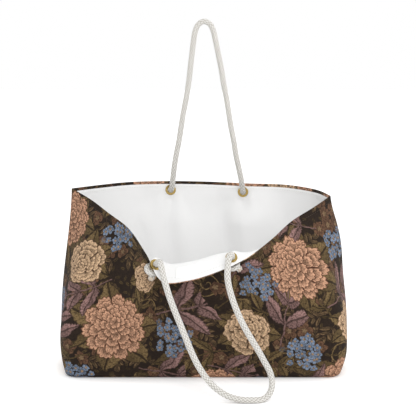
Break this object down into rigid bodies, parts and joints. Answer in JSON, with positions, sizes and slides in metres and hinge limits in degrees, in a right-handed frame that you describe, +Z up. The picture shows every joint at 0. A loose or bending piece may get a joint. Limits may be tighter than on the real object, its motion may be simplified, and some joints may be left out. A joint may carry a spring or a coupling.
{
  "type": "rope-handled carpet bag",
  "caption": "Soft wide-mouthed cloth bag with a boxed base, white lining, brass eyelets and knotted rope handles; its front hem has turned down and one handle hangs to the floor.",
  "frame": {"origin": "middle of the base on the surface that the bag stands on", "axes": "+X along the bag's long side to the viewer's right, +Y from the turned-down front to the back, +Z up"},
  "size_m": [0.4824, 0.3813, 0.598],
  "materials": {
    "printed_cloth": "matt woven cloth with a printed flower pattern",
    "lining": "matt white cloth",
    "label": "smooth white tape, bare",
    "rope": "braided off-white cotton",
    "brass": "polished"
  },
  "bodies": {
    "bag": {"front_panel": "printed_cloth", "back_panel": "printed_cloth", "front_lining": "lining", "back_lining": "lining", "care_label": "label", "eyelet_front_left": "brass", "washer_front_left": "brass", "knot_front_left": "rope", "eyelet_front_right": "brass", "washer_front_right": "brass", "knot_front_right": "rope", "eyelet_back_left": "brass", "washer_back_left": "brass", "knot_back_left": "rope", "eyelet_back_right": "brass", "washer_back_right": "brass", "knot_back_right": "rope"},
    "back_handle": {"back_rope": "rope"},
    "front_handle": {"front_rope": "rope"}
  },
  "joints": [
    {"name": "back_handle_swing", "type": "hinge", "parent": "bag", "child": "back_handle", "pos_m": [-0.058, 0.133, 0.291], "axis": [0.9994, 0.0155, -0.031], "range_deg": [0, 95]},
    {"name": "front_handle_swing", "type": "hinge", "parent": "bag", "child": "front_handle", "pos_m": [0.046, -0.149, 0.221], "axis": [-0.9947, -0.0085, -0.102], "range_deg": [0, 95]}
  ]
}
